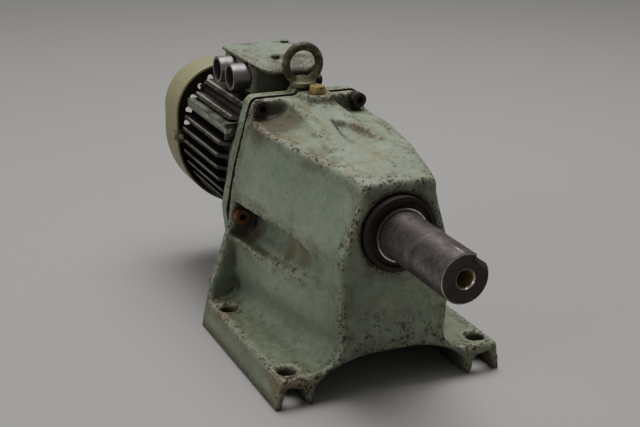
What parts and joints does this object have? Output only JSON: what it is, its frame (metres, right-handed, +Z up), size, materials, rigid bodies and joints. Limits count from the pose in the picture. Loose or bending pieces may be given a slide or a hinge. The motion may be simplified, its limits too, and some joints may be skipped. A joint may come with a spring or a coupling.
{
  "type": "gearmotor",
  "caption": "Foot-mounted in-line gearmotor: cast gear housing, solid keyed output shaft, finned fan-cooled motor with side-entry terminal box and lifting eye.",
  "frame": {"origin": "centre of the bounding box at floor level: X = 0 is the middle plane of the feet, Z = 0 the mounting floor, Y = 0 half way along the overall length", "axes": "the output shaft points along -Y, the motor's fan is at +Y, +Z is up and +X is to the right when the shaft points at the viewer"},
  "size_m": [0.208, 0.48, 0.253],
  "materials": {
    "housing_enamel": "chipped grey-green machine enamel over grey cast iron",
    "motor_enamel": "grey-green enamel under baked-on black grease and dust",
    "cowl_enamel": "faded olive-yellow enamel on pressed sheet steel",
    "box_enamel": "worn grey-green enamel with rust at the edges",
    "gasket": "compressed fibre gasket, matt dark",
    "screw_steel": "blackened steel with brown surface rust",
    "plug_steel": "plain steel, dull",
    "eye_steel": "forged steel, rusty brown with green overspray at the foot",
    "brass": "dull brass",
    "seal_rubber": "black nitrile rubber",
    "shaft_steel": "ground steel with a dark storage patina",
    "gear_steel": "case-hardened, ground flanks",
    "spring_steel": "phosphated spring steel",
    "lamination_steel": "stacked electrical steel sheet",
    "rotor_aluminium": "die-cast",
    "winding_copper": "varnished copper wire",
    "fan_plastic": "black nylon",
    "block_plastic": "brown phenolic moulding",
    "conduit_steel": "zinc-plated steel, slightly tarnished",
    "bearing_steel": "ground bearing steel"
  },
  "bodies": {
    "gear_unit": {"gear_housing": "housing_enamel", "housing_feet": "housing_enamel", "cover_gasket": "gasket", "cover_plate": "housing_enamel", "cover_screws": "screw_steel", "eye_bolt": "eye_steel", "vent_plug": "brass", "oil_drain_plug": "plug_steel", "oil_level_plug": "plug_steel", "output_seal": "seal_rubber", "motor_seal": "seal_rubber", "housing_circlip": "spring_steel", "motor_frame": "motor_enamel", "stator_core": "lamination_steel", "stator_windings": "winding_copper", "rear_end_shield": "motor_enamel", "bearing_spring": "spring_steel", "tie_bolts": "screw_steel", "fan_cowl": "cowl_enamel", "cowl_screws": "screw_steel", "terminal_box": "box_enamel", "lid_gasket": "gasket", "terminal_lid": "box_enamel", "lid_screws": "screw_steel", "terminal_block": "block_plastic", "terminal_studs": "brass", "conduit_rings": "conduit_steel", "earth_screw": "screw_steel", "output_front_bearing_outer_ring": "bearing_steel", "output_rear_bearing_outer_ring": "bearing_steel", "intermediate_front_bearing_outer_ring": "bearing_steel", "intermediate_rear_bearing_outer_ring": "bearing_steel", "motor_front_bearing_outer_ring": "bearing_steel", "motor_rear_bearing_outer_ring": "bearing_steel"},
    "rotor": {"rotor_shaft": "shaft_steel", "rotor_core": "lamination_steel", "rotor_cage": "rotor_aluminium", "cooling_fan": "fan_plastic", "fan_circlip": "spring_steel", "motor_pinion": "gear_steel", "motor_front_bearing_inner_ring": "bearing_steel", "motor_rear_bearing_inner_ring": "bearing_steel"},
    "intermediate": {"intermediate_shaft": "shaft_steel", "intermediate_gear": "gear_steel", "intermediate_gear_key": "gear_steel", "intermediate_spacer": "shaft_steel", "intermediate_front_bearing_inner_ring": "bearing_steel", "intermediate_rear_bearing_inner_ring": "bearing_steel"},
    "output": {"output_shaft": "shaft_steel", "output_gear": "gear_steel", "output_gear_key": "gear_steel", "shaft_circlips": "spring_steel", "output_front_bearing_inner_ring": "bearing_steel", "output_rear_bearing_inner_ring": "bearing_steel"},
    "output_front_bearing_balls": {"output_front_bearing_ball_cage": "bearing_steel"},
    "output_rear_bearing_balls": {"output_rear_bearing_ball_cage": "bearing_steel"},
    "intermediate_front_bearing_balls": {"intermediate_front_bearing_ball_cage": "bearing_steel"},
    "intermediate_rear_bearing_balls": {"intermediate_rear_bearing_ball_cage": "bearing_steel"},
    "motor_front_bearing_balls": {"motor_front_bearing_ball_cage": "bearing_steel"},
    "motor_rear_bearing_balls": {"motor_rear_bearing_ball_cage": "bearing_steel"}
  },
  "joints": [
    {"name": "motor_spin", "type": "hinge", "parent": "gear_unit", "child": "rotor", "pos_m": [0, 0.13, 0.139], "axis": [0, 1, 0], "continuous": true},
    {"name": "intermediate_spin", "type": "hinge", "parent": "gear_unit", "child": "intermediate", "pos_m": [0, 0.004, 0.091], "axis": [0, 1, 0], "continuous": true},
    {"name": "output_spin", "type": "hinge", "parent": "gear_unit", "child": "output", "pos_m": [0, -0.12, 0.139], "axis": [0, 1, 0], "continuous": true},
    {"name": "output_front_bearing_roll", "type": "hinge", "parent": "gear_unit", "child": "output_front_bearing_balls", "pos_m": [0, -0.12, 0.139], "axis": [0, 1, 0], "continuous": true},
    {"name": "output_rear_bearing_roll", "type": "hinge", "parent": "gear_unit", "child": "output_rear_bearing_balls", "pos_m": [0, -0.058, 0.139], "axis": [0, 1, 0], "continuous": true},
    {"name": "intermediate_front_bearing_roll", "type": "hinge", "parent": "gear_unit", "child": "intermediate_front_bearing_balls", "pos_m": [0, -0.039, 0.091], "axis": [0, 1, 0], "continuous": true},
    {"name": "intermediate_rear_bearing_roll", "type": "hinge", "parent": "gear_unit", "child": "intermediate_rear_bearing_balls", "pos_m": [0, 0.047, 0.091], "axis": [0, 1, 0], "continuous": true},
    {"name": "motor_front_bearing_roll", "type": "hinge", "parent": "gear_unit", "child": "motor_front_bearing_balls", "pos_m": [0, 0.063, 0.139], "axis": [0, 1, 0], "continuous": true},
    {"name": "motor_rear_bearing_roll", "type": "hinge", "parent": "gear_unit", "child": "motor_rear_bearing_balls", "pos_m": [0, 0.192, 0.139], "axis": [0, 1, 0], "continuous": true}
  ],
  "couplings": [
    {"joint": "intermediate_spin", "follows": "motor_spin", "ratio": -0.2549},
    {"joint": "output_spin", "follows": "motor_spin", "ratio": 0.094678},
    {"joint": "output_front_bearing_roll", "follows": "motor_spin", "ratio": 0.040711},
    {"joint": "output_rear_bearing_roll", "follows": "motor_spin", "ratio": 0.040711},
    {"joint": "intermediate_front_bearing_roll", "follows": "motor_spin", "ratio": -0.098652},
    {"joint": "intermediate_rear_bearing_roll", "follows": "motor_spin", "ratio": -0.098652},
    {"joint": "motor_front_bearing_roll", "follows": "motor_spin", "ratio": 0.38716},
    {"joint": "motor_rear_bearing_roll", "follows": "motor_spin", "ratio": 0.38702}
  ]
}
